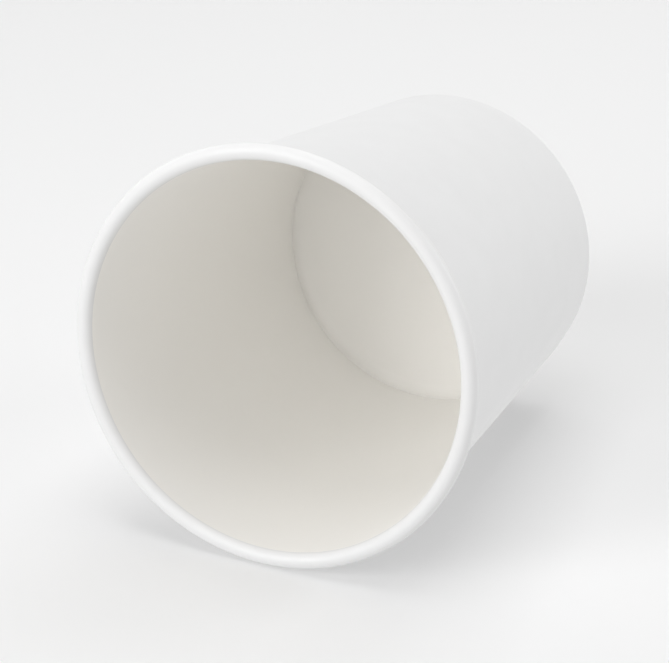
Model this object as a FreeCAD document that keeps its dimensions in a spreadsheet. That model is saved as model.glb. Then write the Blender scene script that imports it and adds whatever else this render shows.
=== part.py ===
import FreeCAD, Part

import math
import os

import Sketcher
from FreeCAD import Vector

# A paper soup container for about half a litre, in millimetres. It stands upright on its base, with +Z up
# and the origin at the middle of the ring that it stands on.
#
# Two pieces of coated board make it:
#   side_wall    one blank wound into a cone and lapped along a seam, rolled outwards into the rim's bead at
#                the top, and folded inwards and up again at the bottom;
#   bottom_disc  a drawn disc whose skirt hangs down into the pocket of that fold and is sealed there.

# The driving sizes: alias, value, what it is. Lengths are in millimetres and angles in degrees.
SIZES = (
    ("rim_diameter", 98.0, "outside of the rolled rim"),
    ("overall_height", 104.0, "from the standing ring to the top of the bead"),
    ("base_diameter", 77.0, "outer face of the wall, carried down to the ground"),
    ("wall_board", 0.4, "thickness of the wall's board"),
    ("bead_diameter", 3.8, "outside of the rolled bead's round section"),
    ("curl_gap", 0.3, "from the bead's cut edge to the wall"),
    ("floor_height", 11.0, "upper face of the bottom disc, above the ground"),
    ("disc_board", 0.38, "thickness of the bottom disc's board"),
    ("disc_bend", 0.62, "inner radius where the disc turns down into its skirt"),
    ("hem_gap", 2.5, "from the hem's top up to where the disc starts to turn"),
    ("skirt_gap", 0.3, "from the skirt's cut edge to the bottom of the fold"),
    ("seal_film", 0.02, "coating between the skirt and the board on each side of it"),
    ("seam_angle", 190.0, "direction of the inner flap's cut edge, about +Z from +X"),
    ("lap_width", 8.0, "width of the wall's side lap"),
    ("lap_bite", 0.02, "how far the sprung flap runs into the round of the wall"),
)

SHEET = "Sizes"
CELL_COLUMN = "B"

# What follows from the driving sizes, as expressions.
BEAD_RADIUS = "(Sizes.bead_diameter / 2)"
CURL_RADIUS = "(Sizes.bead_diameter / 2 - Sizes.wall_board)"
CURL_X = "((Sizes.rim_diameter - Sizes.bead_diameter) / 2)"
CURL_Z = "(Sizes.overall_height - Sizes.bead_diameter / 2)"
BASE_RADIUS = "(Sizes.base_diameter / 2)"
DISC_CORNER = "(Sizes.disc_bend + Sizes.disc_board)"
SKIRT_TOP = f"(Sizes.floor_height - {DISC_CORNER})"
SKIRT_END = "(Sizes.wall_board + Sizes.skirt_gap)"
SKIRT_FACE = "(Sizes.wall_board + Sizes.seal_film)"
POCKET_WIDTH = "(Sizes.disc_board + 2 * Sizes.seal_film)"
HEM_HEIGHT = f"({SKIRT_TOP} - Sizes.hem_gap)"
ABOVE_FLOOR = f"(Sizes.floor_height + {DISC_CORNER})"
BELOW_BEAD = "(Sizes.overall_height - Sizes.bead_diameter)"
WALL_SLOPE = (
    f"(atan2({CURL_X} - {BASE_RADIUS}; {CURL_Z})"
    f" - asin({CURL_RADIUS} / hypot({CURL_X} - {BASE_RADIUS}; {CURL_Z})))"
)
BOARD_ACROSS = f"(Sizes.wall_board / cos({WALL_SLOPE}))"

# The numbers by which a sketch knows its own axes and the points of an element, and its origin by them.
X_AXIS, Y_AXIS = range(-1, -3, -1)
START, END, CENTRE = range(1, 4)
ORIGIN = (X_AXIS, START)


class Wall:
    """The wall's straight line in the section through the axis, as numbers for the sketches to start from.

    Its outer face leaves the ground at the base radius and touches the inside of the curl.
    """

    def __init__(self, p):
        self.base_radius = p.value(BASE_RADIUS)
        self.bead_radius = p.value(BEAD_RADIUS)
        self.curl_radius = p.value(CURL_RADIUS)
        self.curl = Vector(p.value(CURL_X), p.value(CURL_Z), 0)
        self.slope = math.radians(p.value(WALL_SLOPE))
        self.inward = Vector(-math.cos(self.slope), math.sin(self.slope), 0)

    def at(self, height, depth=0.0):
        """The point of the section at a height, that far in from the wall's outer face."""
        radius = (
            self.base_radius
            + height * math.tan(self.slope)
            - depth / math.cos(self.slope)
        )
        return Vector(radius, height, 0)


class Profile:
    """A sketch on one of a body's own planes, with its sizes bound to the sheet."""

    def __init__(self, body, name, role):
        self.sketch = body.newObject("Sketcher::SketchObject", name)
        plane = next(f for f in body.Origin.OriginFeatures if f.Role == role)
        self.sketch.AttachmentSupport = [(plane, "")]
        self.sketch.MapMode = "FlatFace"

    def value(self, expression):
        """What an expression over the sheet comes to, in millimetres or degrees."""
        return float(self.sketch.evalExpression(expression))

    def line(self, start, end, guide=False):
        """Draw a straight line."""
        return self.sketch.addGeometry(Part.LineSegment(start, end), guide)

    def arc(self, centre, radius, first, last):
        """Draw an arc that runs anticlockwise between two angles in radians."""
        circle = Part.Circle(centre, Vector(0, 0, 1), radius)
        return self.sketch.addGeometry(Part.ArcOfCircle(circle, first, last), False)

    def circle(self, centre, radius):
        """Draw a guide circle."""
        return self.sketch.addGeometry(
            Part.Circle(centre, Vector(0, 0, 1), radius), True
        )

    def tie(self, kind, *places):
        """Add a constraint that has no size."""
        self.sketch.addConstraint(Sketcher.Constraint(kind, *places))

    def join(self, first, second):
        """Make two points one."""
        self.tie("Coincident", *first, *second)

    def smooth(self, first, second):
        """Join two ends so that one element runs into the other without a corner."""
        self.tie("Tangent", *first, *second)

    def size(self, name, expression, kind, *places):
        """Add a constraint whose size is an expression over the sheet."""
        start = self.value(expression)
        index = self.sketch.addConstraint(Sketcher.Constraint(kind, *places, start))
        self.sketch.renameConstraint(index, name)
        self.sketch.setExpression(f"Constraints.{name}", expression)


def make_sheet(doc):
    """Put the driving sizes in a spreadsheet, one row each."""
    sheet = doc.addObject("Spreadsheet::Sheet", SHEET)
    for row, (alias, value, meaning) in enumerate(SIZES, start=1):
        cell = f"{CELL_COLUMN}{row}"
        sheet.set(f"A{row}", alias)
        sheet.set(cell, str(value))
        sheet.set(f"C{row}", meaning)
        sheet.setAlias(cell, alias)
    doc.recompute()


def make_body(doc, name):
    """Start a body whose label names the piece."""
    body = doc.addObject("PartDesign::Body", name)
    body.Label = name
    return body


def revolve(body, name, sketch):
    """Turn a section once round the axis."""
    turned = body.newObject("PartDesign::Revolution", name)
    turned.Profile = sketch
    turned.ReferenceAxis = (sketch, ["V_Axis"])
    turned.Angle = 360


def wall_section(body):
    """The whole section of the wall's board: bead, wall, bottom fold and hem, of one thickness throughout."""
    p = Profile(body, "wall_section", "XZ_Plane")
    wall = Wall(p)
    slope = wall.slope
    board = p.value("Sizes.wall_board")
    hem_face = board + p.value(POCKET_WIDTH)

    tuck = math.acos((wall.curl_radius - p.value("Sizes.curl_gap")) / wall.bead_radius)
    top_angle = math.pi - slope
    cut_angle = top_angle + tuck - 2 * math.pi
    cut = Vector(math.cos(cut_angle), math.sin(cut_angle), 0)
    outer_corner = wall.at(board, board)
    inner_corner = wall.at(board, hem_face)
    hem_tip = wall.at(p.value(HEM_HEIGHT), hem_face)
    outer_foot = Vector(outer_corner.x, 0, 0)
    inner_foot = Vector(inner_corner.x, 0, 0)

    flat = p.line(inner_foot, outer_foot)
    outer_bend = p.arc(outer_corner, board, -math.pi / 2, -slope)
    outer_face = p.line(
        outer_corner - wall.inward * board, wall.curl + wall.inward * wall.curl_radius
    )
    curl_inside = p.arc(wall.curl, wall.curl_radius, cut_angle, top_angle)
    cut_edge = p.line(
        wall.curl + cut * wall.curl_radius, wall.curl + cut * wall.bead_radius
    )
    curl_outside = p.arc(wall.curl, wall.bead_radius, cut_angle, top_angle)
    inner_face = p.line(wall.curl + wall.inward * wall.bead_radius, outer_corner)
    pocket = p.line(outer_corner, inner_corner)
    hem_outside = p.line(inner_corner, hem_tip)
    hem_top = p.line(hem_tip, hem_tip + wall.inward * board)
    hem_inside = p.line(
        hem_tip + wall.inward * board, inner_corner + wall.inward * board
    )
    inner_bend = p.arc(inner_corner, board, math.pi - slope, 1.5 * math.pi)

    p.smooth((flat, END), (outer_bend, START))
    p.smooth((outer_bend, END), (outer_face, START))
    p.smooth((outer_face, END), (curl_inside, END))
    p.join((curl_inside, START), (cut_edge, START))
    p.join((cut_edge, END), (curl_outside, START))
    p.smooth((curl_outside, END), (inner_face, START))
    p.join((inner_face, END), (pocket, START))
    p.join((pocket, END), (hem_outside, START))
    p.join((hem_outside, END), (hem_top, START))
    p.join((hem_top, END), (hem_inside, START))
    p.smooth((hem_inside, END), (inner_bend, START))
    p.smooth((inner_bend, END), (flat, START))

    # The ground line, and the bends about the corners of the pocket.
    p.tie("PointOnObject", flat, START, X_AXIS)
    p.tie("PointOnObject", flat, END, X_AXIS)
    p.join((outer_bend, CENTRE), (pocket, START))
    p.join((inner_bend, CENTRE), (pocket, END))
    # The board keeps its direction and thickness.
    for face in (inner_face, hem_outside, hem_inside):
        p.tie("Parallel", outer_face, face)
    p.tie("Perpendicular", hem_outside, hem_top)
    p.join((curl_inside, CENTRE), (curl_outside, CENTRE))
    p.tie("PointOnObject", curl_outside, CENTRE, cut_edge)
    base = p.sketch.addGeometry(Part.Point(Vector(wall.base_radius, 0, 0)), True)
    p.tie("PointOnObject", base, START, X_AXIS)
    p.tie("PointOnObject", base, START, outer_face)

    p.size("base_radius", BASE_RADIUS, "DistanceX", *ORIGIN, base, START)
    p.size("curl_x", CURL_X, "DistanceX", *ORIGIN, curl_outside, CENTRE)
    p.size("curl_z", CURL_Z, "DistanceY", *ORIGIN, curl_outside, CENTRE)
    p.size("bead_radius", BEAD_RADIUS, "Radius", curl_outside)
    p.size("curl_radius", CURL_RADIUS, "Radius", curl_inside)
    p.size("curl_gap", "Sizes.curl_gap", "Distance", cut_edge, END, outer_face)
    p.size("pocket_width", POCKET_WIDTH, "Distance", hem_outside, START, inner_face)
    p.size("hem_board", "Sizes.wall_board", "Distance", hem_top, START, hem_top, END)
    p.size("hem_height", HEM_HEIGHT, "DistanceY", *ORIGIN, hem_outside, END)
    return p.sketch


def lap_plan(body, name, height, face, root, lapped):
    """Plan of the side lap at one height, drawn about +X and turned to the seam's direction.

    The outer flap lies one board further out than the wall's face until it passes the inner flap's cut edge,
    which is on +X. From there it runs straight, on a line that only just bites into the round of the face.
    A lapped plan includes the flap's width beside that edge, on the clockwise side.

    height, face and root are expressions: the plan's height, the radius of the wall's face there, and the
    radius of the round that closes the plan.
    """
    p = Profile(body, name, "XY_Plane")
    p.sketch.setExpression("AttachmentOffset.Base.z", height)
    p.sketch.setExpression("AttachmentOffset.Rotation.Angle", "Sizes.seam_angle")
    outer_radius = f"{face} + Sizes.wall_board"
    near_radius = f"{face} - Sizes.lap_bite"
    outer = p.value(outer_radius)
    near = p.value(near_radius)
    closed = p.value(root)
    turn = math.acos(near / outer)
    lap = math.asin(p.value("Sizes.lap_width") / outer) if lapped else 0.0

    def polar(radius, angle):
        return Vector(radius * math.cos(angle), radius * math.sin(angle), 0)

    sprung = p.line(polar(outer, 0), polar(near, turn))
    side = p.line(polar(near, turn), polar(closed, turn))
    closing = p.arc(Vector(), closed, -lap, turn)
    cut = p.line(polar(closed, -lap), polar(outer, -lap))
    p.join((sprung, END), (side, START))
    p.join((side, END), (closing, END))
    p.join((closing, START), (cut, START))
    if lapped:
        flap = p.arc(Vector(), outer, -lap, 0)
        p.join((cut, END), (flap, START))
        p.join((flap, END), (sprung, START))
        p.join((flap, CENTRE), ORIGIN)
        p.tie("PointOnObject", sprung, START, X_AXIS)
        p.tie("PointOnObject", *ORIGIN, cut)
        p.size("lap_width", "Sizes.lap_width", "DistanceY", flap, START, *ORIGIN)
    else:
        p.join((cut, END), (sprung, START))
        p.tie("PointOnObject", cut, START, X_AXIS)
        p.tie("PointOnObject", cut, END, X_AXIS)

    p.join((closing, CENTRE), ORIGIN)
    p.tie("PointOnObject", *ORIGIN, side)
    p.tie("Perpendicular", sprung, side)
    p.size("outer_radius", outer_radius, "Distance", *ORIGIN, sprung, START)
    p.size("near_radius", near_radius, "Distance", *ORIGIN, side, START)
    p.size("root_radius", root, "Radius", closing)
    return p.sketch


def make_lap(body, outside):
    """One side of the lap, from its lower plan to the upper one just below the bead.

    Outside, the outer flap stands proud of the wall, and its plan is rooted halfway into the board. Inside,
    the wall steps back past the inner flap, and the plan that is cut away is closed in the open.
    """
    if outside:
        name, kind = "outer_lap", "PartDesign::AdditiveLoft"
        low, depth, root_depth = "Sizes.wall_board", "0", "Sizes.wall_board / 2"
    else:
        name, kind = "inner_lap", "PartDesign::SubtractiveLoft"
        low, depth, root_depth = ABOVE_FLOOR, BOARD_ACROSS, "Sizes.wall_board"
    plans = []
    for end, height in (("low", low), ("high", BELOW_BEAD)):
        face = f"({BASE_RADIUS} + {height} * tan({WALL_SLOPE}) - {depth})"
        root = f"({face} - {root_depth})"
        plans.append(lap_plan(body, f"{name}_{end}", height, face, root, outside))

    before = body.Tip.Shape.Volume
    loft = body.newObject(kind, name)
    loft.Profile = plans[0]
    loft.Sections = [plans[1]]
    loft.Ruled = True
    body.Document.recompute()
    change = body.Tip.Shape.Volume - before
    if (change > 0) != outside:
        raise RuntimeError(f"{name} changed the wall's volume by {change:.3f} mm3")


def make_side_wall(doc):
    """The blank: its section turned round the axis, and the two sides of its lap."""
    body = make_body(doc, "side_wall")
    revolve(body, "wound_board", wall_section(body))
    doc.recompute()
    make_lap(body, outside=True)
    make_lap(body, outside=False)
    return body


def disc_section(body):
    """Half the section of the bottom disc: floor, corner and skirt, laid off from the wall's own line."""
    p = Profile(body, "disc_section", "XZ_Plane")
    wall = Wall(p)
    board = p.value("Sizes.disc_board")
    corner = p.value(DISC_CORNER)
    floor = p.value("Sizes.floor_height")
    skirt_face = p.value(SKIRT_FACE)
    bend = wall.at(p.value(SKIRT_TOP), skirt_face + corner)
    tip = wall.at(p.value(SKIRT_END), skirt_face)

    curl = p.circle(wall.curl, wall.curl_radius)
    wall_line = p.line(
        wall.at(0), wall.curl + wall.inward * wall.curl_radius, guide=True
    )
    floor_top = p.line(Vector(0, floor, 0), Vector(bend.x, floor, 0))
    bend_outside = p.arc(bend, corner, -wall.slope, math.pi / 2)
    skirt_outside = p.line(bend - wall.inward * corner, tip)
    skirt_edge = p.line(tip, tip + wall.inward * board)
    skirt_inside = p.line(
        tip + wall.inward * board, bend - wall.inward * (corner - board)
    )
    bend_inside = p.arc(bend, corner - board, -wall.slope, math.pi / 2)
    underside = p.line(Vector(bend.x, floor - board, 0), Vector(0, floor - board, 0))
    axis = p.line(Vector(0, floor - board, 0), Vector(0, floor, 0))

    p.join((axis, END), (floor_top, START))
    p.smooth((floor_top, END), (bend_outside, END))
    p.smooth((bend_outside, START), (skirt_outside, START))
    p.join((skirt_outside, END), (skirt_edge, START))
    p.join((skirt_edge, END), (skirt_inside, START))
    p.smooth((skirt_inside, END), (bend_inside, START))
    p.smooth((bend_inside, END), (underside, START))
    p.join((underside, END), (axis, START))

    # The wall's outer face, as the wall's own section has it.
    p.tie("PointOnObject", wall_line, START, X_AXIS)
    p.tie("Tangent", wall_line, END, curl)
    p.size("base_radius", BASE_RADIUS, "DistanceX", *ORIGIN, wall_line, START)
    p.size("curl_x", CURL_X, "DistanceX", *ORIGIN, curl, CENTRE)
    p.size("curl_z", CURL_Z, "DistanceY", *ORIGIN, curl, CENTRE)
    p.size("curl_radius", CURL_RADIUS, "Radius", curl)

    p.tie("PointOnObject", axis, START, Y_AXIS)
    p.tie("PointOnObject", axis, END, Y_AXIS)
    p.tie("Horizontal", floor_top)
    p.tie("Horizontal", underside)
    p.tie("Parallel", wall_line, skirt_outside)
    p.tie("Parallel", wall_line, skirt_inside)
    p.tie("Perpendicular", skirt_outside, skirt_edge)
    p.join((bend_inside, CENTRE), (bend_outside, CENTRE))
    p.size("floor_height", "Sizes.floor_height", "DistanceY", *ORIGIN, axis, END)
    p.size("disc_board", "Sizes.disc_board", "Distance", axis, START, axis, END)
    p.size("disc_corner", DISC_CORNER, "Radius", bend_outside)
    p.size("skirt_face", SKIRT_FACE, "Distance", skirt_outside, END, wall_line)
    p.size("skirt_end", SKIRT_END, "DistanceY", *ORIGIN, skirt_outside, END)
    return p.sketch


def make_bottom_disc(doc):
    """The disc: its half section turned round the axis."""
    body = make_body(doc, "bottom_disc")
    revolve(body, "drawn_disc", disc_section(body))
    return body


def check(doc, bodies):
    """Stop if anything in the document failed, or if a piece isn't one sound solid."""
    for obj in doc.Objects:
        if "Invalid" in obj.State or "Error" in obj.State:
            raise RuntimeError(f"{obj.Label} failed: {obj.State}")
        if obj.TypeId == "Sketcher::SketchObject" and obj.solve() != 0:
            raise RuntimeError(f"{obj.Label} doesn't solve")
    for body in bodies:
        shape = body.Shape
        if shape.isNull() or not shape.isValid() or len(shape.Solids) != 1:
            raise RuntimeError(f"{body.Label} isn't one sound solid")


def main():
    doc = FreeCAD.newDocument("paper_soup_container")
    make_sheet(doc)
    bodies = [make_side_wall(doc), make_bottom_disc(doc)]
    doc.recompute()
    check(doc, bodies)
    os.makedirs("parts", exist_ok=True)
    for body in bodies:
        box = body.Shape.optimalBoundingBox(False)
        print(
            f"{body.Label}: {body.Shape.Volume:.1f} mm3,"
            f" {box.XLength:.2f} x {box.YLength:.2f} x {box.ZLength:.2f} mm"
        )
        body.Shape.exportStep(f"parts/{body.Label}.step")


main()
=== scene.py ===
"""A plain white paper soup container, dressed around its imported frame.

The container stands upright on its base, as the frame has it. The studio round it is turned instead: its
floor is the plane that the container would lie on if it were tipped on its side, touching the rolled rim
and the folded bottom edge, and the camera looks over that floor into the mouth.

Two pieces are built, each as one closed skin worked out on a grid:
    side_wall_board     the wound and lapped wall, with its rolled rim and its folded hem
    bottom_disc_board   the drawn bottom disc with its skirt

Lengths are in metres and angles in radians, unless a name says otherwise.
"""

import logging
import math
from dataclasses import dataclass, field
from enum import Enum

import bpy
import numpy as np
from mathutils import Matrix, Vector


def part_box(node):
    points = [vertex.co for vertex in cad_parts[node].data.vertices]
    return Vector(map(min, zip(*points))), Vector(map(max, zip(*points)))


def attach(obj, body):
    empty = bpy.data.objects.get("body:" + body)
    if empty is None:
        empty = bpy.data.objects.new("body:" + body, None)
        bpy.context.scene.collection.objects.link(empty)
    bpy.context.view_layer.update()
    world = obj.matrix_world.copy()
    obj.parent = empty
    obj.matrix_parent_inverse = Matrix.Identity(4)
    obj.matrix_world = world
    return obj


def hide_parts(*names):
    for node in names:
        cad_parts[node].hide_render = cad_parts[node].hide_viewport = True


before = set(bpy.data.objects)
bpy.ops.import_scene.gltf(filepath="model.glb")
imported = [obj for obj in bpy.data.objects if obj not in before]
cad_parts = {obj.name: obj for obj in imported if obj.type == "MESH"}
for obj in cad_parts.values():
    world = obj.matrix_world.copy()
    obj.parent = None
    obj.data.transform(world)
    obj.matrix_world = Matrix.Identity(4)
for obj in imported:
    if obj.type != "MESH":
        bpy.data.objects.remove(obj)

MM = 0.001
TURN = 2 * math.pi
QUARTER = TURN / 4
CREASE = math.radians(40)
BODY = "root"

log = logging.getLogger("soup_container")


class Skin(Enum):
    """The faces of the board that show. The value is the material's name."""

    OUTSIDE = "matte_outer_board"
    LINING = "coated_inner_lining"
    RIM = "coated_rolled_rim"
    UNDERSIDE = "plain_underside_board"
    CUT = "raw_cut_edge"

    @property
    def number(self) -> int:
        """Its place in the order of the skins."""
        return list(Skin).index(self)


# ---- Shapes as whole arrays ------------------------------------------------


def ease(value: np.ndarray, start: float, end: float) -> np.ndarray:
    """Go from 0 at start to 1 at end as 3t^2 - 2t^3, level beyond both; end may lie below start."""
    t = np.clip((value - start) / (end - start), 0.0, 1.0)
    return t * t * (3.0 - 2.0 * t)


@dataclass
class Section:
    """An outline in the plane of radius and height, laid down anticlockwise, stretch by stretch.

    A stretch holds its first point but not its last, which is the next stretch's first.
    """

    points: list[np.ndarray] = field(default_factory=list)
    names: list[str] = field(default_factory=list)
    skins: list[Skin] = field(default_factory=list)

    def line(self, name: str, start: np.ndarray, end: np.ndarray, count: int, skin: Skin) -> None:
        """Add a straight stretch: start + t (end - start), t from 0 to just under 1.

        Args:
            name: What the stretch is.
            start: First point, as radius and height.
            end: Point that the next stretch starts from.
            count: How many faces the stretch has.
            skin: The face of the board that it shows.
        """
        share = np.arange(count)[:, None] / count
        self._add(name, start + share * (end - start), skin)

    def arc(
        self,
        name: str,
        centre: np.ndarray,
        radius: float,
        span: tuple[float, float],
        count: int,
        skin: Skin,
    ) -> None:
        """Add a round stretch: centre + radius (cos a, sin a), a from one end of the span to the other.

        Args:
            name: What the stretch is.
            centre: Middle of the round, as radius and height.
            radius: The round's own radius.
            span: Angle of the first point, and the angle that the next stretch starts from.
            count: How many faces the stretch has.
            skin: The face of the board that it shows.
        """
        angle = span[0] + (span[1] - span[0]) * np.arange(count) / count
        ring = np.stack([np.cos(angle), np.sin(angle)], axis=1)
        self._add(name, centre + radius * ring, skin)

    def _add(self, name: str, points: np.ndarray, skin: Skin) -> None:
        """Keep a stretch, with its name and skin once for each of its points.

        Args:
            name: What the stretch is.
            points: Its points, as rows of radius and height.
            skin: The face of the board that it shows.
        """
        self.points.append(points)
        self.names.extend([name] * len(points))
        self.skins.extend([skin] * len(points))

    def outline(self) -> tuple[np.ndarray, np.ndarray]:
        """Radius and height of all the points, each as a column."""
        points = np.concatenate(self.points)
        return points[:, :1], points[:, 1:]

    def on(self, *names: str) -> np.ndarray:
        """A column that is 1 on the points of the named stretches and 0 elsewhere."""
        return np.isin(self.names, names)[:, None].astype(float)

    def face_skins(self, columns: int) -> np.ndarray:
        """Number of the skin of every face: one row for each point of the outline."""
        numbers = np.array([skin.number for skin in self.skins])
        return np.repeat(numbers[:, None], columns, axis=1)


def round_grid(radius: np.ndarray, height: np.ndarray, angle: np.ndarray) -> np.ndarray:
    """Points about +Z: x = radius cos angle, y = radius sin angle, z = height, over arrays of one shape."""
    return np.stack([radius * np.cos(angle), radius * np.sin(angle), height], axis=-1)


def ring_faces(rows: int, columns: int, closed: bool) -> np.ndarray:
    """Corner numbers of the quads of a grid whose columns close into rings.

    Args:
        rows: Points along the section.
        columns: Points round each ring.
        closed: Whether the last row joins the first, as on a section that is a loop.

    Returns:
        One row of four corners for each face, which points outwards where the section runs anticlockwise.
    """
    row = np.arange(rows if closed else rows - 1)[:, None]
    column = np.arange(columns)[None, :]
    next_row = (row + 1) % rows
    next_column = (column + 1) % columns
    corners = [
        row * columns + column,
        row * columns + next_column,
        next_row * columns + next_column,
        next_row * columns + column,
    ]
    return np.stack(corners, axis=-1).reshape(-1, 4)


def pole_faces(pole: int, ring_start: int, columns: int, upwards: bool) -> np.ndarray:
    """Corner numbers of the triangles between a ring and the point at its middle.

    Args:
        pole: The middle point's number.
        ring_start: The ring's first point.
        columns: Points round the ring.
        upwards: Whether the triangles face +Z.

    Returns:
        One row of three corners for each face.
    """
    ring = ring_start + np.arange(columns)
    following = np.roll(ring, -1)
    middle = np.full(columns, pole)
    order = [middle, ring, following] if upwards else [middle, following, ring]
    return np.stack(order, axis=1)


def put_in_scene(name: str, data: bpy.types.ID) -> bpy.types.Object:
    """Make an object of a mesh, a lamp or a camera, and put it in the scene.

    Args:
        name: The object's name.
        data: The mesh, lamp or camera.

    Returns:
        The object.
    """
    new = bpy.data.objects.new(name, data)
    bpy.context.scene.collection.objects.link(new)
    return new


def put_mesh(
    name: str,
    points: np.ndarray,
    quads: np.ndarray,
    triangles: np.ndarray,
    skins: np.ndarray,
) -> bpy.types.Object:
    """Make an object of points and faces, smooth but for the edges that are sharper than the crease.

    Args:
        name: The object's name.
        points: One row for each point.
        quads: One row of four corners for each face.
        triangles: One row of three corners for each face after the quads.
        skins: Number of the skin of each face, quads first.

    Returns:
        The object, at the origin, with one material slot for each skin that it shows.
    """
    mesh = bpy.data.meshes.new(name)
    mesh.vertices.add(len(points))
    mesh.vertices.foreach_set("co", points.astype(np.float32).ravel())
    corners = np.concatenate([quads.ravel(), triangles.ravel()]).astype(np.int32)
    sides = np.repeat([4, 3], [len(quads), len(triangles)])
    starts = np.concatenate([[0], np.cumsum(sides)[:-1]]).astype(np.int32)
    mesh.loops.add(len(corners))
    mesh.loops.foreach_set("vertex_index", corners)
    mesh.polygons.add(len(sides))
    mesh.polygons.foreach_set("loop_start", starts)

    shown, numbers = np.unique(skins, return_inverse=True)
    order = list(Skin)
    for number in shown:
        mesh.materials.append(bpy.data.materials[order[number].value])
    mesh.polygons.foreach_set("material_index", numbers.ravel().astype(np.int32))
    mesh.update(calc_edges=True)
    mesh.shade_smooth()
    mesh.set_sharp_from_angle(angle=CREASE)
    return put_in_scene(name, mesh)


# ---- The container ---------------------------------------------------------


@dataclass(frozen=True)
class Board:
    """The sizes that both pieces share, and the straight line of the wall in the section.

    The wall's outer face leaves the ground at the base radius and touches the inside of the rim's curl.

    Attributes:
        rim_radius: Outer radius of the rolled rim.
        height: Height of the container.
        base_radius: Where the line of the wall's outer face meets the ground.
        wall: Thickness of the wall's board.
        bead_radius: Outer radius of the rolled rim's round section.
        floor_height: Height of the disc's upper face.
        disc: Thickness of the disc's board.
        disc_bend: Inner radius where the disc turns down into its skirt.
        hem_gap: From the hem's cut edge up to the disc's bend.
        skirt_gap: From the skirt's cut edge down to the fold it stands in.
        seal_film: Thickness of the sealing film on each side of the skirt.
    """

    rim_radius: float
    height: float
    base_radius: float = 38.5 * MM
    wall: float = 0.4 * MM
    bead_radius: float = 1.9 * MM
    floor_height: float = 11.0 * MM
    disc: float = 0.38 * MM
    disc_bend: float = 0.62 * MM
    hem_gap: float = 2.5 * MM
    skirt_gap: float = 0.3 * MM
    seal_film: float = 0.02 * MM

    @property
    def curl_radius(self) -> float:
        """Inner radius of the rolled rim's round section."""
        return self.bead_radius - self.wall

    @property
    def curl_centre(self) -> np.ndarray:
        """Middle of the rolled rim's round section."""
        return np.array([self.rim_radius, self.height]) - self.bead_radius

    @property
    def slope(self) -> float:
        """How far the wall leans out: the angle of the line from the base that touches the curl's inside."""
        run, rise = self.curl_centre - [self.base_radius, 0.0]
        return math.atan2(run, rise) - math.asin(self.curl_radius / math.hypot(run, rise))

    @property
    def outward(self) -> np.ndarray:
        """Unit direction square out of the wall's outer face."""
        return np.array([math.cos(self.slope), -math.sin(self.slope)])

    @property
    def disc_corner(self) -> float:
        """Outer radius where the disc turns down into its skirt."""
        return self.disc_bend + self.disc

    @property
    def hem_depth(self) -> float:
        """How far in from the wall's outer face the hem begins, behind wall and skirt."""
        return self.wall + self.disc + 2 * self.seal_film

    @property
    def hem_height(self) -> float:
        """Height of the folded hem's cut edge."""
        return self.floor_height - self.disc_corner - self.hem_gap

    def at(self, height: float, depth: float = 0.0) -> np.ndarray:
        """The point at a height, that far in from the wall's outer face."""
        face = self.base_radius + height * math.tan(self.slope)
        return np.array([face - depth / math.cos(self.slope), height])

    def lying_plane(self) -> tuple[float, float]:
        """The line that touches the bottom fold and the bead from outside.

        Its outward unit direction u makes (bead centre - fold centre) . u = fold radius - bead radius.

        Returns:
            The angle of u below the horizontal, and the line's distance from the origin along u.
        """
        fold = self.at(self.wall, self.wall)
        span = self.curl_centre - fold
        reach = math.acos((self.wall - self.bead_radius) / math.hypot(*span))
        drop = reach - math.atan2(span[1], span[0])
        direction = np.array([math.cos(drop), -math.sin(drop)])
        return drop, float(fold @ direction) + self.wall


@dataclass(frozen=True)
class SideLap:
    """The side seam, where one end of the blank overlaps the other.

    Angles run anticlockwise from the inner flap's cut edge. The outer flap reaches back over the inner one
    by the lap's width, and on the other side springs in a straight line down to the round of the wall.

    Attributes:
        board: Thickness of the board.
        direction: Direction of the inner flap's cut edge, about +Z from +X.
        width: How far the outer flap reaches back over the inner one.
        bite: How far inside the round the sprung flap's straight line passes.
    """

    board: float
    direction: float = math.radians(190)
    width: float = 8 * MM
    bite: float = 0.02 * MM

    def sprung(self, angle: np.ndarray, radius: np.ndarray) -> np.ndarray:
        """Rise of the straight flap over the round: near / cos(turn - angle) - radius, down to nothing.

        Args:
            angle: Angles from the inner flap's cut edge.
            radius: Radius of the face that the flap comes down to.

        Returns:
            The rise, one board at the cut edge and 0 from where the flap meets the round.
        """
        near = radius - self.bite
        turn = np.arccos(near / (radius + self.board))
        rise = near / np.cos(turn - np.minimum(angle, turn)) - radius
        return np.where(angle < turn, np.maximum(rise, 0.0), 0.0)


@dataclass(frozen=True)
class Swell:
    """One slow wave round the board, which turns as it climbs."""

    strength: float
    count: int
    start: float
    twist: float

    def over(self, angle: np.ndarray, share: np.ndarray) -> np.ndarray:
        """The wave: strength sin(count angle + start + twist share), with the share of the height."""
        return self.strength * np.sin(self.count * angle + self.start + self.twist * share)


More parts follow.
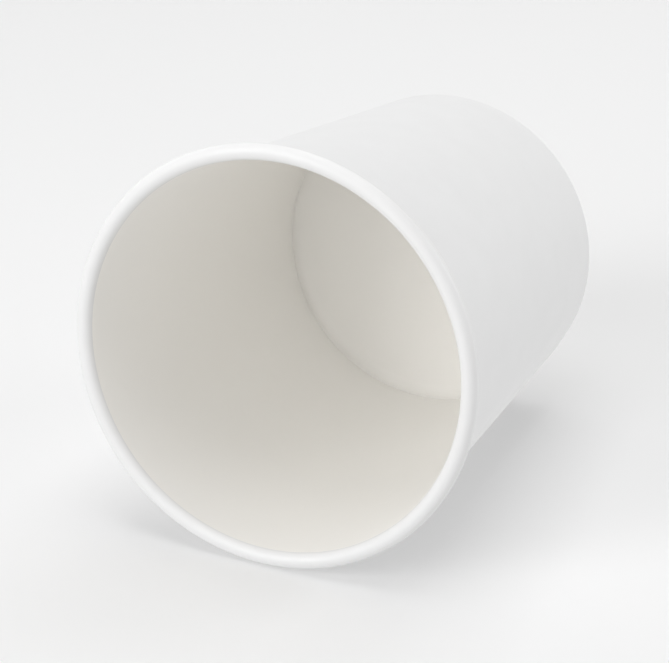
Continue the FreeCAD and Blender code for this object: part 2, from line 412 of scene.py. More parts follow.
@dataclass(frozen=True)
class SideWall:
    """The wall: a blank of coated board, wound, lapped, rolled out at the top and folded in at the bottom.

    Attributes:
        board: The container's sizes.
        lap: The side seam.
        curl_gap: From the curl's cut edge to the wall beside it.
        main_columns: Columns of the grid from the inner flap's cut edge round to the outer flap's.
        lap_columns: Columns across the lap.
        edge_width: Width of the strip that stands for each flap's cut edge, round the wall.
        outside_fade: Heights at which the lap outside begins to show and shows fully.
        fade: Height over which the lap inside comes in above the floor, and both go out beside the bead.
        floor_bite: How far below the floor's height the lap inside begins.
        wave: Height of a swell of strength 1.
        wave_base: Shares of the height at which the swells begin and are whole.
        wave_top: Shares of the height at which they have gone and are still whole.
        swells: The slow waves of the wound board.
        flutes: How many ribs the curling tool presses across the hem.
        flute_depth: How far they stand out.
        flute_base: Shares of the hem's height at which the ribs begin and are whole.
        flute_top: Shares at which they have gone and are still whole.
    """

    board: Board
    lap: SideLap
    curl_gap: float = 0.3 * MM
    main_columns: int = 540
    lap_columns: int = 20
    edge_width: float = 0.03 * MM
    outside_fade: tuple[float, float] = (0.0, 0.35 * MM)
    fade: float = 1.0 * MM
    floor_bite: float = 0.2 * MM
    wave: float = 0.05 * MM
    wave_base: tuple[float, float] = (0.12, 0.4)
    wave_top: tuple[float, float] = (0.94, 0.6)
    swells: tuple[Swell, ...] = (
        Swell(strength=1.0, count=2, start=0.6, twist=1.5),
        Swell(strength=0.6, count=3, start=2.1, twist=-2.4),
        Swell(strength=0.35, count=7, start=4.0, twist=5.0),
    )
    flutes: int = 108
    flute_depth: float = 0.10 * MM
    flute_base: tuple[float, float] = (0.05, 0.2)
    flute_top: tuple[float, float] = (0.95, 0.8)

    @property
    def inside_fade(self) -> tuple[float, float]:
        """Heights at the floor at which the lap inside begins to show and shows fully."""
        return self.board.floor_height - self.floor_bite, self.board.floor_height + self.fade

    @property
    def top_fade(self) -> tuple[float, float]:
        """Heights beside the bead at which the lap has gone and is still whole."""
        bead_foot = self.board.height - 2 * self.board.bead_radius
        return bead_foot + self.fade, bead_foot

    def section(self) -> Section:
        """The closed outline of the board: outer face, curl, bead, inner face, pocket and hem.

        Returns:
            The outline, which starts on the ground at the inner fold and runs anticlockwise.
        """
        board = self.board
        curl = board.curl_centre
        inward = -board.outward
        top = math.pi - board.slope
        tuck = math.acos((board.curl_radius - self.curl_gap) / board.bead_radius)
        cut_angle = top + tuck - TURN
        cut = np.array([math.cos(cut_angle), math.sin(cut_angle)])
        down = np.array([0.0, -board.wall])
        outer_fold = board.at(board.wall, board.wall)
        inner_fold = board.at(board.wall, board.hem_depth)
        hem_tip = board.at(board.hem_height, board.hem_depth)
        hem_back = hem_tip + inward * board.wall
        hem_foot = inner_fold + inward * board.wall
        foot = outer_fold - inward * board.wall
        touch = curl + inward * board.curl_radius
        crest = curl + inward * board.bead_radius
        cut_inside = curl + cut * board.curl_radius
        cut_outside = curl + cut * board.bead_radius

        shape = Section()
        shape.line("ground_ring", inner_fold + down, outer_fold + down, 1, Skin.OUTSIDE)
        shape.arc("outer_fold", outer_fold, board.wall, (-QUARTER, -board.slope), 6, Skin.OUTSIDE)
        shape.line("outer_face", foot, touch, 34, Skin.OUTSIDE)
        shape.arc("curl_inside", curl, board.curl_radius, (top, cut_angle), 16, Skin.OUTSIDE)
        shape.line("curl_edge", cut_inside, cut_outside, 1, Skin.CUT)
        shape.arc("bead", curl, board.bead_radius, (cut_angle, top), 40, Skin.RIM)
        shape.line("inner_face", crest, outer_fold, 30, Skin.LINING)
        shape.line("pocket", outer_fold, inner_fold, 1, Skin.LINING)
        shape.line("hem_outside", inner_fold, hem_tip, 4, Skin.LINING)
        shape.line("hem_edge", hem_tip, hem_back, 1, Skin.CUT)
        shape.line("hem_inside", hem_back, hem_foot, 12, Skin.OUTSIDE)
        shape.arc("inner_fold", inner_fold, board.wall, (top, 3 * QUARTER), 6, Skin.OUTSIDE)
        return shape

    def columns(self, radius: np.ndarray) -> np.ndarray:
        """Angles of all columns from the seam, at each radius.

        The main columns run from the inner flap's cut edge right round to the outer flap's cut edge, and the
        lap's columns from there back to the seam, so that both edges follow the blank up the tapered wall.

        Args:
            radius: The section's radii, as a column.

        Returns:
            One row of angles for each radius.
        """
        lap = self.lap.width / radius
        edge = self.edge_width / radius
        main = np.linspace(0.0, 1.0, self.main_columns)[None, :]
        over = np.linspace(0.0, 1.0, self.lap_columns)[None, :]
        return np.hstack([main * (TURN - lap - edge), TURN - lap + over * (lap - edge)])

    def lap_rise(
        self, shape: Section, radius: np.ndarray, height: np.ndarray, angle: np.ndarray
    ) -> np.ndarray:
        """How far the lap lifts the faces: a whole board over the inner flap, less along the sprung flap.

        The outer face rises on both sides of the seam, and the inner face only past the inner flap's edge.
        Both fade out beside the bead's foot, and below in the round of the fold and at the floor.

        Args:
            shape: The section.
            radius: Its radii, as a column.
            height: Its heights, as a column.
            angle: Angles of the columns, one row for each radius.

        Returns:
            The rise at each point of the grid.
        """
        over_flap = np.arange(angle.shape[1])[None, :] >= self.main_columns
        sprung = self.lap.sprung(angle, radius)
        outside = np.where(over_flap, self.board.wall, sprung)
        inside = np.where(over_flap, 0.0, sprung)
        outside = outside * ease(height, *self.outside_fade) * shape.on("outer_face", "outer_fold")
        inside = inside * ease(height, *self.inside_fade) * shape.on("inner_face")
        return (outside + inside) * ease(height, *self.top_fade)

    def waves(self, height: np.ndarray, angle: np.ndarray) -> np.ndarray:
        """Slight unevenness of the wound board: the sum of the swells, dying out at rim and base.

        Args:
            height: The section's heights, as a column.
            angle: Angles of the columns, one row for each height.

        Returns:
            How far the board stands out at each point of the grid.
        """
        share = height / self.board.height
        window = ease(share, *self.wave_base) * ease(share, *self.wave_top)
        return self.wave * window * sum(swell.over(angle, share) for swell in self.swells)

    def fluting(self, height: np.ndarray, angle: np.ndarray) -> np.ndarray:
        """Ribs pressed across the hem: a raised cosine round it, within a level band.

        Args:
            height: The section's heights, as a column.
            angle: Angles of the columns, one row for each height.

        Returns:
            How far the ribs stand out at each point of the grid.
        """
        share = (height - self.board.wall) / (self.board.hem_height - self.board.wall)
        band = ease(share, *self.flute_base) * ease(share, *self.flute_top)
        return self.flute_depth * band * (0.5 - 0.5 * np.cos(self.flutes * angle))

    def face_skins(self, shape: Section, height: np.ndarray, columns: int) -> np.ndarray:
        """Number of the skin of every face, with the flaps' cut edges marked below the bead.

        Args:
            shape: The section.
            height: Its heights, as a column.
            columns: Columns of the grid.

        Returns:
            One row for each point of the section.
        """
        skins = shape.face_skins(columns)
        below_bead = height < self.top_fade[1]
        outside = shape.on("outer_face") * below_bead > 0
        inside = shape.on("inner_face") * (height > self.inside_fade[1]) * below_bead > 0
        skins[outside[:, 0], self.main_columns - 1] = Skin.CUT.number
        skins[inside[:, 0], columns - 1] = Skin.CUT.number
        return skins

    def build(self) -> bpy.types.Object:
        """Turn the section once round the axis, with the lap, the waves and the hem's ribs laid on it.

        Returns:
            The finished wall.
        """
        shape = self.section()
        radius, height = shape.outline()
        angle = self.columns(radius)
        rise = self.lap_rise(shape, radius, height, angle)
        rise = rise + shape.on("outer_face", "inner_face") * self.waves(height, angle)
        rise = rise + shape.on("hem_inside") * self.fluting(height, angle)
        out, up = self.board.outward
        points = round_grid(radius + out * rise, height + up * rise, angle + self.lap.direction)
        rows, columns = angle.shape
        return put_mesh(
            "side_wall_board",
            points.reshape(-1, 3),
            ring_faces(rows, columns, closed=True),
            np.zeros((0, 3), dtype=int),
            self.face_skins(shape, height, columns).ravel(),
        )


@dataclass(frozen=True)
class BottomDisc:
    """The bottom: a round blank of coated board, drawn so that its edge turns down into a skirt.

    The molten coating fills the groove between its bend and the wall, up to where the bend stands at the
    fill's angle from level.

    Attributes:
        board: The container's sizes.
        columns: Columns of the grid round the disc.
        fill: How far round the bend the coating fills the groove, as an angle from level.
        hub: Radius of the ring nearest the middle.
        crimp_height: Height of the ridge inside the disc's edge.
        crimp_width: The measure that the ridge's width is told in.
        crimp_outside: Where the ridge begins and is whole, in those widths from the disc's edge inwards.
        crimp_inside: Where it has gone again and is still whole, likewise.
        dish: Height of the dome at the disc's middle.
        pleats: How many gathers the skirt has.
        pleat_depth: How deep they are.
        pleat_drift: How far they wander off an even pitch, in radians of their wave.
        pleat_wander: How many times they do so in a turn.
    """

    board: Board
    columns: int = 480
    fill: float = math.radians(50)
    hub: float = 0.6 * MM
    crimp_height: float = 0.12 * MM
    crimp_width: float = 2.2 * MM
    crimp_outside: tuple[float, float] = (-0.1, 0.5)
    crimp_inside: tuple[float, float] = (1.5, 0.5)
    dish: float = 0.12 * MM
    pleats: int = 96
    pleat_depth: float = 0.05 * MM
    pleat_drift: float = 1.3
    pleat_wander: int = 5

    @property
    def crimp_reach(self) -> float:
        """How far in from the disc's edge the ridge is past and the dome begins."""
        return 2 * self.crimp_width

    def section(self) -> Section:
        """The outline from the middle of the underside, round the skirt, to the middle of the upper face.

        Returns:
            The outline, open at both ends, where a point in the middle closes it.
        """
        board = self.board
        depth = board.wall + board.seal_film
        bend = board.at(board.floor_height - board.disc_corner, depth + board.disc_corner)
        tip = board.at(board.wall + board.skirt_gap, depth)
        inward = -board.outward
        tip_back = tip + inward * board.disc
        bend_foot = bend - inward * board.disc_bend
        sheet = np.array([0.0, board.disc])
        corner = bend + [0.0, board.disc_corner]
        shoulder = corner - [self.crimp_reach, 0.0]
        middle = np.array([self.hub, board.floor_height])
        fill = np.array([math.cos(self.fill), math.sin(self.fill)])
        shore = bend + board.disc_corner * fill
        shore_wall = board.at(shore[1], depth)

        shape = Section()
        shape.line("underside", middle - sheet, shoulder - sheet, 18, Skin.UNDERSIDE)
        shape.line("underside", shoulder - sheet, corner - sheet, 22, Skin.UNDERSIDE)
        shape.arc("bend_inside", bend, board.disc_bend, (QUARTER, -board.slope), 8, Skin.UNDERSIDE)
        shape.line("skirt_inside", bend_foot, tip_back, 14, Skin.UNDERSIDE)
        shape.line("skirt_edge", tip_back, tip, 1, Skin.CUT)
        shape.line("skirt_outside", tip, shore_wall, 14, Skin.LINING)
        shape.line("bend_outside", shore_wall, shore, 4, Skin.LINING)
        shape.arc("bend_outside", bend, board.disc_corner, (self.fill, QUARTER), 8, Skin.LINING)
        shape.line("upper_face", corner, shoulder, 22, Skin.LINING)
        shape.line("upper_face", shoulder, middle, 18, Skin.LINING)
        shape.line("upper_face", middle, middle, 1, Skin.LINING)
        return shape

    def lift(self, radius: np.ndarray) -> np.ndarray:
        """How far the floor stands above the flat: a round ridge inside its edge, and a shallow dome.

        The ridge rises and falls again as two eased steps across its width, and the dome is one eased step
        from the ridge to the middle.

        Args:
            radius: The section's radii, as a column.

        Returns:
            The lift at each of them.
        """
        board = self.board
        edge = board.at(board.floor_height, board.wall + board.disc_corner)[0]
        across = (edge - radius) / self.crimp_width
        ridge = ease(across, *self.crimp_outside) * ease(across, *self.crimp_inside)
        dome = ease(radius, edge - self.crimp_reach, 0.0)
        return self.crimp_height * ridge + self.dish * dome

    def pleating(self, height: np.ndarray, angle: np.ndarray) -> np.ndarray:
        """Fine gathers of the drawn skirt: a squared sine of uneven pitch, deepest at the skirt's end.

        Args:
            height: The section's heights, as a column.
            angle: Angles of the columns, as a row.

        Returns:
            How far in the gathers reach at each point of the grid.
        """
        depth = ease(height, self.board.hem_height + self.board.hem_gap, self.board.hem_height)
        drift = self.pleat_drift * np.sin(self.pleat_wander * angle)
        return self.pleat_depth * depth * np.sin(self.pleats / 2 * angle + drift) ** 2

    def build(self) -> bpy.types.Object:
        """Turn the section once round the axis, with the floor's ridge and dome and the skirt's gathers.

        Returns:
            The finished disc.
        """
        shape = self.section()
        radius, height = shape.outline()
        angle = np.linspace(0.0, TURN, self.columns, endpoint=False)[None, :]
        floor = shape.on("underside", "bend_inside", "bend_outside", "upper_face")
        height = height + floor * self.lift(radius)
        tuck = shape.on("skirt_inside") * self.pleating(height, angle)
        points = round_grid(*np.broadcast_arrays(radius - tuck, height, angle))
        rows, columns = tuck.shape
        poles = points[[rows - 1, 0]].mean(axis=1)
        triangles = [
            pole_faces(rows * columns, (rows - 1) * columns, columns, upwards=True),
            pole_faces(rows * columns + 1, 0, columns, upwards=False),
        ]
        skins = shape.face_skins(columns)
        return put_mesh(
            "bottom_disc_board",
            np.vstack([points.reshape(-1, 3), poles]),
            ring_faces(rows, columns, closed=False),
            np.concatenate(triangles),
            np.concatenate([skins[:-1].ravel(), skins[-1], skins[0]]),
        )


# ---- Nodes -----------------------------------------------------------------


Colour = tuple[float, float, float]
Socket = bpy.types.NodeSocket
NodeValue = Socket | float | Colour | Vector


@dataclass(frozen=True)
class Nodes:
    """A node tree, and short ways to add to it."""

    tree: bpy.types.NodeTree

    def feed(self, node: bpy.types.Node, values: dict[str | int, NodeValue]) -> None:
        """Link or set inputs of a node. A plain colour gets its alpha here.

        Args:
            node: The node.
            values: For each input, by name or number, the output that feeds it or its plain value.
        """
        for key, value in values.items():
            entry = node.inputs[key]
            if isinstance(value, Socket):
                self.tree.links.new(value, entry)
            elif entry.type == "RGBA":
                entry.default_value = (*value, 1.0)
            else:
                entry.default_value = value

    def add(
        self,
        kind: str,
        values: dict[str | int, NodeValue] | None = None,
        **options: str | bpy.types.NodeTree,
    ) -> bpy.types.Node:
        """Add a node, with its options and inputs settled.

        Args:
            kind: The node's type.
            values: What its inputs get, as feed takes it.
            **options: The node's own choices, such as its operation.

        Returns:
            The node.
        """
        node = self.tree.nodes.new(kind)
        for option, choice in options.items():
            setattr(node, option, choice)
        self.feed(node, values or {})
        return node

    def arithmetic(self, operation: str, *terms: Socket | float) -> Socket:
        """Add a Math node over outputs and plain numbers, and return its result."""
        values = dict(enumerate(terms))
        return self.add("ShaderNodeMath", values, operation=operation).outputs["Value"]

    def mixed_colour(self, share: NodeValue, none: NodeValue, whole: NodeValue) -> Socket:
        """Mix two colours: none + share (whole - none)."""
        values = {"Factor": share, "A": none, "B": whole}
        return self.add("ShaderNodeMix", values, data_type="RGBA").outputs["Result"]

    def mixed_shader(self, share: Socket, none: Socket, whole: Socket) -> Socket:
        """Mix two shaders: the first where the share is 0, and the second where it is 1."""
        return self.add("ShaderNodeMixShader", {0: share, 1: none, 2: whole}).outputs["Shader"]

    def share_along(self, direction: Socket, axis: Vector, none: float, whole: float) -> Socket:
        """How far a direction lies along an axis, eased from 0 to 1.

        Args:
            direction: The unit direction.
            axis: The unit axis.
            none: The part of the direction along the axis at which the share is 0.
            whole: The part at which it is 1.

        Returns:
            The share.
        """
        along = self.add("ShaderNodeVectorMath", {0: direction, 1: axis}, operation="DOT_PRODUCT")
        values = {"Value": along.outputs["Value"], "From Min": none, "From Max": whole}
        share = self.add("ShaderNodeMapRange", values, interpolation_type="SMOOTHSTEP")
        return share.outputs["Result"]

    def noise(self, place: Socket, scale: Socket, detail: float, roughness: float = 0.5) -> Socket:
        """Add a Noise texture.

        Args:
            place: The point to read it at.
            scale: Spots to the metre.
            detail: How many finer layers it has.
            roughness: How strong each layer is beside the one before.

        Returns:
            Its value, about 0.5 on average.
        """
        values = {"Vector": place, "Scale": scale, "Detail": detail, "Roughness": roughness}
        return self.add("ShaderNodeTexNoise", values).outputs["Fac"]


# ---- Finishes --------------------------------------------------------------


def new_group(
    name: str, inputs: dict[str, float], output: str
) -> tuple[Nodes, dict[str, Socket], bpy.types.Node]:
    """Start a shader node group that takes a point and some numbers, and puts out one number.

    Args:
        name: The group's name.
        inputs: The numbers that it takes, each with what it is when nothing is set.
        output: Name of the number that it puts out.

    Returns:
        The group's nodes, what it is given, by name, and its output node.
    """
    tree = bpy.data.node_groups.new(name, "ShaderNodeTree")
    tree.interface.new_socket("Place", in_out="INPUT", socket_type="NodeSocketVector")
    for entry, default in inputs.items():
        socket = tree.interface.new_socket(entry, in_out="INPUT", socket_type="NodeSocketFloat")
        socket.default_value = default
    tree.interface.new_socket(output, in_out="OUTPUT", socket_type="NodeSocketFloat")
    nodes = Nodes(tree)
    given = dict(nodes.add("NodeGroupInput").outputs.items())
    return nodes, given, nodes.add("NodeGroupOutput")


def paper_cloud_group() -> bpy.types.NodeTree:
    """The uneven density of paper, as one number about 0.5: cloud (1 - mix) + fleck mix.

    Cloud and Fleck are the scales of the broad clouds and the small flecks, in spots to the metre, and Mix
    is the flecks' share.

    Returns:
        The group.
    """
    inputs = {"Cloud": 120.0, "Fleck": 1500.0, "Mix": 0.3}
    nodes, given, result = new_group("paper_cloud", inputs, "Tone")
    cloud = nodes.noise(given["Place"], given["Cloud"], detail=3.0)
    fleck = nodes.noise(given["Place"], given["Fleck"], detail=2.0)
    rest = nodes.arithmetic("SUBTRACT", 1.0, given["Mix"])
    clouds = nodes.arithmetic("MULTIPLY", cloud, rest)
    flecks = nodes.arithmetic("MULTIPLY", fleck, given["Mix"])
    nodes.feed(result, {"Tone": nodes.arithmetic("ADD", clouds, flecks)})
    return nodes.tree


@dataclass(frozen=True)
class FibreLayer:
    """One layer of pressed fibres, which lie along one direction."""

    turn: tuple[float, float, float]
    stretch: tuple[float, float, float]


FIBRE_LAYERS = (
    FibreLayer(turn=(0.5, 0.25, 0.5), stretch=(1.0, 0.35, 1.0)),
    FibreLayer(turn=(2.1, 1.05, 2.1), stretch=(0.35, 1.0, 0.8)),
)


def paper_tooth_group() -> bpy.types.NodeTree:
    """The relief of pressed fibres, as one height: the higher of two crossed layers + swell swelling.

    Fibre and Swell are the scales of the fibres and of the slow swell, in spots to the metre, and Swelling
    is the swell's strength.

    Returns:
        The group.
    """
    inputs = {"Fibre": 1400.0, "Swell": 260.0, "Swelling": 0.5}
    nodes, given, result = new_group("paper_tooth", inputs, "Height")
    layers = []
    for layer in FIBRE_LAYERS:
        values = {"Vector": given["Place"], "Rotation": layer.turn, "Scale": layer.stretch}
        laid = nodes.add("ShaderNodeMapping", values).outputs["Vector"]
        layers.append(nodes.noise(laid, given["Fibre"], detail=4.0, roughness=0.6))
    swell = nodes.noise(given["Place"], given["Swell"], detail=1.0)
    fibres = nodes.arithmetic("MAXIMUM", *layers)
    swells = nodes.arithmetic("MULTIPLY", swell, given["Swelling"])
    nodes.feed(result, {"Height": nodes.arithmetic("ADD", fibres, swells)})
    return nodes.tree


@dataclass(frozen=True)
class BoardFinish:
    """How one face of the board looks.

    Attributes:
        skin: The face it is for.
        thin: Colour where the paper is thinnest.
        dense: Colour where it is densest.
        roughness: Roughness on thin and on dense spots.
        specular: Strength of the plain reflection, 0.5 on most matter.
        fibre: Spots of relief to the metre.
        swell: Slow swells of relief to the metre.
        relief: Height of the relief.
        swelling: How strong the swell is beside the fibres.
        coat: Weight of the plastic film over the board.
        coat_roughness: How rough the film is.
    """

    skin: Skin
    thin: Colour
    dense: Colour
    roughness: tuple[float, float]
    specular: float
    fibre: float
    swell: float
    relief: float
    swelling: float = 0.5
    coat: float = 0.0
    coat_roughness: float = 0.3

    def make(self, cloud: bpy.types.NodeTree, tooth: bpy.types.NodeTree) -> None:
        """Build the material: colour and roughness follow the density, over the relief.

        Args:
            cloud: The shared group of the paper's density.
            tooth: The shared group of its relief.
        """
        material = bpy.data.materials.new(self.skin.value)
        material.use_nodes = True
        nodes = Nodes(material.node_tree)
        place = nodes.add("ShaderNodeTexCoord").outputs["Object"]

        density = nodes.add("ShaderNodeGroup", {"Place": place}, node_tree=cloud)
        tone = density.outputs["Tone"]
        on_thin, on_dense = self.roughness
        values = {"Value": tone, "To Min": on_thin, "To Max": on_dense}
        roughness = nodes.add("ShaderNodeMapRange", values)

        values = {"Place": place, "Fibre": self.fibre, "Swell": self.swell, "Swelling": self.swelling}
        fibres = nodes.add("ShaderNodeGroup", values, node_tree=tooth)
        values = {"Strength": 1.0, "Distance": self.relief, "Height": fibres.outputs["Height"]}
        relief = nodes.add("ShaderNodeBump", values)

        surface = {
            "Base Color": nodes.mixed_colour(tone, self.thin, self.dense),
            "Roughness": roughness.outputs["Result"],
            "Normal": relief.outputs["Normal"],
            "Specular IOR Level": self.specular,
            "Coat Weight": self.coat,
            "Coat Roughness": self.coat_roughness,
        }
        nodes.feed(nodes.tree.nodes["Principled BSDF"], surface)


FINISHES = (
    BoardFinish(
        skin=Skin.OUTSIDE,
        thin=(0.838, 0.838, 0.838),
        dense=(0.881, 0.881, 0.881),
        roughness=(0.68, 0.62),
        specular=0.12,
        fibre=1400.0,
        swell=260.0,
        relief=0.026 * MM,
    ),
    BoardFinish(
        skin=Skin.RIM,
        thin=(0.843, 0.843, 0.841),
        dense=(0.863, 0.863, 0.861),
        roughness=(0.50, 0.44),
        specular=0.4,
        fibre=900.0,
        swell=240.0,
        relief=0.006 * MM,
        swelling=1.2,
        coat=0.28,
        coat_roughness=0.22,
    ),
    BoardFinish(
        skin=Skin.LINING,
        thin=(0.964, 0.949, 0.916),
        dense=(0.978, 0.963, 0.931),
        roughness=(0.50, 0.44),
        specular=0.4,
        fibre=900.0,
        swell=240.0,
        relief=0.006 * MM,
        swelling=1.2,
        coat=0.15,
        coat_roughness=0.35,
    ),
    BoardFinish(
        skin=Skin.UNDERSIDE,
        thin=(0.825, 0.822, 0.81),
        dense=(0.85, 0.847, 0.836),
        roughness=(0.75, 0.68),
        specular=0.3,
        fibre=1100.0,
        swell=200.0,
        relief=0.02 * MM,
    ),
    BoardFinish(
        skin=Skin.CUT,
        thin=(0.74, 0.715, 0.66),
        dense=(0.82, 0.80, 0.755),
        roughness=(0.95, 0.88),
        specular=0.2,
        fibre=3200.0,
        swell=900.0,
        relief=0.03 * MM,
    ),
)


# ---- The studio ------------------------------------------------------------


@dataclass(frozen=True)
class LyingFloor:
    """The floor that the container would lie on, and directions told by it.

    up is square off the floor, mouthward runs along the floor towards the mouth's side, and sideways
    completes the three.

    Attributes:
        board: The container's sizes.
        side: The side that it would lie on, as the angle about +Z.
        half_width: Half the floor's width and length.
        colour: The floor's paint.
        painted_shade_reach: How near the container has to be for the painted shade to darken the paint.
        painted_shade_strength: How much darker the painted shade makes the paint at most.
    """

    board: Board
    side: float = math.radians(135)
    half_width: float = 3.0
    colour: Colour = (0.915, 0.915, 0.915)
    painted_shade_reach: float = 12 * MM
    painted_shade_strength: float = 0.12

    @property
    def up(self) -> Vector:
        """Unit direction square off the floor, towards the container."""
        drop, _ = self.board.lying_plane()
        level = -math.cos(drop)
        return Vector((level * math.cos(self.side), level * math.sin(self.side), math.sin(drop)))

    @property
    def mouthward(self) -> Vector:
        """Unit direction along the floor, as near +Z as the floor allows."""
        axis = Vector((0.0, 0.0, 1.0))
        return (axis - axis.dot(self.up) * self.up).normalized()

    @property
    def sideways(self) -> Vector:
        """Unit direction along the floor, across the container."""
        return self.up.cross(self.mouthward)

    def direction(self, bearing: float, elevation: float) -> Vector:
        """Unit direction at a bearing from mouthward towards sideways, and an elevation off the floor."""
        level = math.cos(bearing) * self.mouthward + math.sin(bearing) * self.sideways
        return math.cos(elevation) * level + math.sin(elevation) * self.up

    def build(self) -> None:
        """Make the floor: a plane whose front casts back light, and whose back can be seen through."""
        _, distance = self.board.lying_plane()
        middle = -distance * self.up
        ends = (-self.half_width, self.half_width)
        corners = [middle + a * self.sideways + b * self.mouthward for b in ends for a in ends]
        mesh = bpy.data.meshes.new("studio_floor")
        mesh.from_pydata([tuple(corner) for corner in corners], [], [(0, 2, 3, 1)])
        mesh.materials.append(self.material())
        floor = put_in_scene("studio_floor", mesh)
        floor.visible_diffuse = False
        floor.visible_glossy = False
        floor.visible_shadow = False

    def material(self) -> bpy.types.Material:
        """Plain matte paint on the front, and nothing at all seen from behind.

        The paint carries painted shade: ambient occlusion darkens it a little close under the container,
        to make up for the light from below that the floor doesn't hold back.

        Returns:
            The floor's material.
        """
        material = bpy.data.materials.new("studio_floor_paint")
        material.use_nodes = True
        nodes = Nodes(material.node_tree)
        nodes.tree.nodes.remove(nodes.tree.nodes["Principled BSDF"])
        # Painted shade: ambient occlusion darkens the floor's paint where the container is near.
        values = {"Distance": self.painted_shade_reach, "Color": self.colour}
        near = nodes.add("ShaderNodeAmbientOcclusion", values)
        tone = nodes.mixed_colour(self.painted_shade_strength, self.colour, near.outputs["Color"])
        paint = nodes.add("ShaderNodeBsdfDiffuse", {"Color": tone})
        clear = nodes.add("ShaderNodeBsdfTransparent")
        side = nodes.add("ShaderNodeNewGeometry")
        behind = side.outputs["Backfacing"]
        surface = nodes.mixed_shader(behind, paint.outputs["BSDF"], clear.outputs["BSDF"])
        nodes.feed(nodes.tree.nodes["Material Output"], {"Surface": surface})
        return material


def turned_to(direction: Vector, upright: Vector) -> Matrix:
    """Turn of a camera or lamp, which look along their own -Z with +Y at the top.

    Args:
        direction: Where it looks.
        upright: The direction that its top is turned towards.

    Returns:
        The turn, whose columns are the right, the top and the back in the scene.
    """
    back = -direction.normalized()
    right = upright.cross(back).normalized()
    return Matrix((right, back.cross(right), back)).transposed().to_4x4()


@dataclass(frozen=True)
class SoftLamp:
    """A square soft box that looks at the container.

    Attributes:
        name: The lamp's name.
        bearing_degrees: Its direction along the floor, from mouthward towards sideways.
        elevation_degrees: Its direction off the floor.
        width: Its side.
        power: Its power in watts.
        distance: How far it hangs from the container.
        steep: Past this sine of the elevation, its top is turned mouthward instead of up.
    """

    name: str
    bearing_degrees: float
    elevation_degrees: float
    width: float
    power: float
    distance: float = 1.2
    steep: float = 0.9

    def build(self, floor: LyingFloor, target: Vector) -> None:
        """Hang the lamp and point it.

        Args:
            floor: The floor that its directions are told by.
            target: The point that it looks at.
        """
        data = bpy.data.lights.new(self.name, "AREA")
        data.shape = "SQUARE"
        data.size = self.width
        data.energy = self.power
        lamp = put_in_scene(self.name, data)
        elevation = math.radians(self.elevation_degrees)
        away = floor.direction(math.radians(self.bearing_degrees), elevation)
        top = floor.mouthward if math.sin(elevation) > self.steep else floor.up
        hung = Matrix.Translation(target + self.distance * away)
        lamp.matrix_world = hung @ turned_to(-away, top)
        lamp.visible_camera = False


LAMPS = (
    SoftLamp("overhead_box", 0, 88, 0.8, 4.0),
    SoftLamp("front_box", 0, 34, 0.5, 1.05),
    SoftLamp("low_front_box", -15, 10, 0.5, 0.65),
    SoftLamp("left_box", -30, 32, 0.5, 2.65),
    SoftLamp("low_left_box", -30, 12, 0.5, 1.85),
    SoftLamp("far_left_box", -110, 22, 0.5, 0.5),
    SoftLamp("right_box", 100, 22, 0.8, 0.95),
    SoftLamp("rear_box", 180, 52, 0.8, 2.0),
    SoftLamp("rear_left_box", -135, 52, 0.8, 0.8),
    SoftLamp("rear_right_box", 130, 22, 0.5, 1.95),
)


@dataclass(frozen=True)
class Viewpoint:
    """The camera: where it stands over the floor, and what it is aimed at.

    Attributes:
        bearing: Its direction along the floor, from mouthward towards sideways.
        elevation: Its height off the floor, as an angle.
        distance: From the camera to the container's middle, along the view.
        aim: How far right of the middle and above it the view's centre lies.
        lens: Focal length in millimetres.
        sensor: Width of the sensor in millimetres.
        clip: The nearest and the farthest that it sees.
    """

    bearing: float = math.radians(24.9)
    elevation: float = math.radians(24.8)
    distance: float = 583 * MM
    aim: tuple[float, float] = (-7.0 * MM, -8.0 * MM)
    lens: float = 131.9
    sensor: float = 36.0
    clip: tuple[float, float] = (0.01, 20.0)

    def build(self, floor: LyingFloor, middle: Vector) -> None:
        """Place the camera, level with the floor, and make it the scene's own.

        Args:
            floor: The floor that its directions are told by.
            middle: The container's middle.
        """
        away = floor.direction(self.bearing, self.elevation)
        turn = turned_to(-away, floor.up)
        right, above = turn.col[0].to_3d(), turn.col[1].to_3d()
        target = middle + self.aim[0] * right + self.aim[1] * above
        data = bpy.data.cameras.new("viewpoint")
        data.lens = self.lens
        data.sensor_width = self.sensor
        data.clip_start, data.clip_end = self.clip
        camera = put_in_scene("viewpoint", data)
        camera.matrix_world = Matrix.Translation(target + self.distance * away) @ turn
        bpy.context.scene.camera = camera


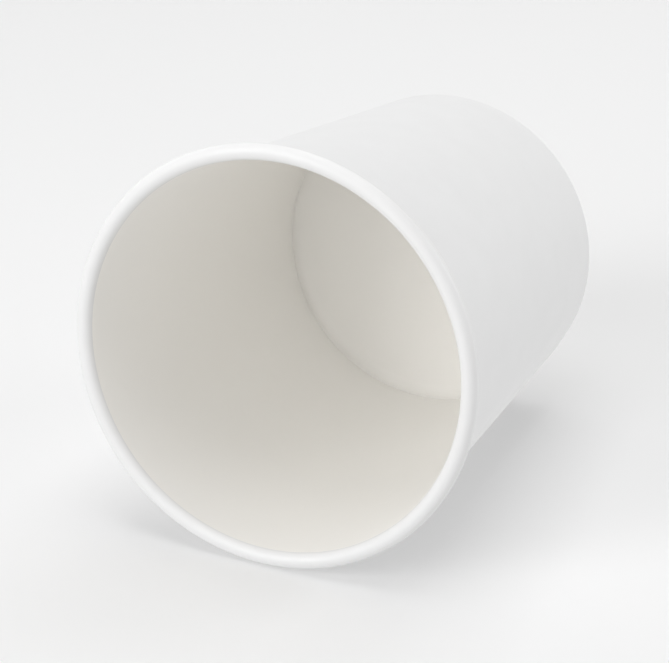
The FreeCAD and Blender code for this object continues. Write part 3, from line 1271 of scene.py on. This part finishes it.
@dataclass(frozen=True)
class Room:
    """The soft light of a pale room, brighter or darker by quarters, and a plain background.

    Over and under tell on which side of the floor's level a direction lies, ahead and behind on which side
    of the container's middle, mouthward being ahead. The quarters run into each other, and the lower ones
    into the light from deep below.

    Attributes:
        over_ahead: Light from over the floor, ahead.
        over_behind: Light from over the floor, behind.
        under_ahead: Light cast back from below, ahead, as a pale floor would.
        under_behind: Light cast back from below, behind.
        deep: Light cast back from deep below, where the container shades the floor.
        blend: How far either side of level the quarters run into each other, as a sine.
        deepening: Where below level the deep light begins and where it is alone, as sines.
        background: What is seen past the floor, by the camera and mirrored in anything shiny.
    """

    over_ahead: Colour = (0.44, 0.44, 0.44)
    over_behind: Colour = (0.31, 0.31, 0.31)
    under_ahead: Colour = (0.83, 0.83, 0.83)
    under_behind: Colour = (1.0, 1.0, 1.0)
    deep: Colour = (0.45, 0.45, 0.45)
    blend: float = 0.1
    deepening: tuple[float, float] = (0.7, 1.0)
    background: Colour = (0.87, 0.87, 0.87)

    def build(self, floor: LyingFloor) -> None:
        """Make the world: the mixed quarters as its light, the background where it is seen or mirrored.

        Args:
            floor: The floor that its directions are told by.
        """
        world = bpy.data.worlds.new("plain_room")
        world.use_nodes = True
        nodes = Nodes(world.node_tree)
        direction = nodes.add("ShaderNodeTexCoord").outputs["Generated"]
        over = nodes.share_along(direction, floor.up, -self.blend, self.blend)
        ahead = nodes.share_along(direction, floor.mouthward, -self.blend, self.blend)
        depth = nodes.share_along(direction, -floor.up, *self.deepening)
        upper = nodes.mixed_colour(ahead, self.over_behind, self.over_ahead)
        level = nodes.mixed_colour(ahead, self.under_behind, self.under_ahead)
        lower = nodes.mixed_colour(depth, level, self.deep)
        light = nodes.tree.nodes["Background"]
        nodes.feed(light, {"Color": nodes.mixed_colour(over, lower, upper)})

        shown = nodes.add("ShaderNodeBackground", {"Color": self.background})
        path = nodes.add("ShaderNodeLightPath").outputs
        mirrored = nodes.arithmetic("MAXIMUM", path["Is Glossy Ray"], path["Is Transmission Ray"])
        seen = nodes.arithmetic("MAXIMUM", path["Is Camera Ray"], mirrored)
        surface = nodes.mixed_shader(seen, light.outputs["Background"], shown.outputs["Background"])
        nodes.feed(nodes.tree.nodes["World Output"], {"Surface": surface})
        bpy.context.scene.world = world


@dataclass(frozen=True)
class Studio:
    """Floor, camera, room and lamps."""

    floor: LyingFloor
    viewpoint: Viewpoint
    room: Room
    lamps: tuple[SoftLamp, ...]

    def build(self, middle: Vector) -> None:
        """Set up the studio round the container.

        Args:
            middle: The container's middle.
        """
        self.floor.build()
        self.viewpoint.build(self.floor, middle)
        self.room.build(self.floor)
        for lamp in self.lamps:
            lamp.build(self.floor, middle)
        bpy.context.scene.view_settings.view_transform = "Standard"


# ---- All of it -------------------------------------------------------------


def keep_sizes() -> None:
    """Bring the view layer up to date.
    """
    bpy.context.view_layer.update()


def place(piece: bpy.types.Object, node: str, slot: str) -> None:
    """Let a piece stand for its node and ride on the body.

    Args:
        piece: The finished piece.
        node: The node of the frame that it stands for.
        slot: The record's material slot; not used.
    """
    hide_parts(node)
    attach(piece, BODY)
    log.info("%s stands for %s: %d faces", piece.name, node, len(piece.data.polygons))


def main() -> None:
    """Build the finishes, the two pieces and the studio."""
    logging.basicConfig(level=logging.INFO, format="%(message)s")
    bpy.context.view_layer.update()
    low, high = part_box("side_wall")
    board = Board(rim_radius=(high.x - low.x) / 2, height=high.z)

    cloud, tooth = paper_cloud_group(), paper_tooth_group()
    for finish in FINISHES:
        finish.make(cloud, tooth)

    wall = SideWall(board, SideLap(board.wall))
    place(wall.build(), "side_wall", "wall_board")
    place(BottomDisc(board).build(), "bottom_disc", "disc_board")

    middle = Vector((0.0, 0.0, board.height / 2))
    Studio(LyingFloor(board), Viewpoint(), Room(), LAMPS).build(middle)
    keep_sizes()


if __name__ == "__main__":
    main()
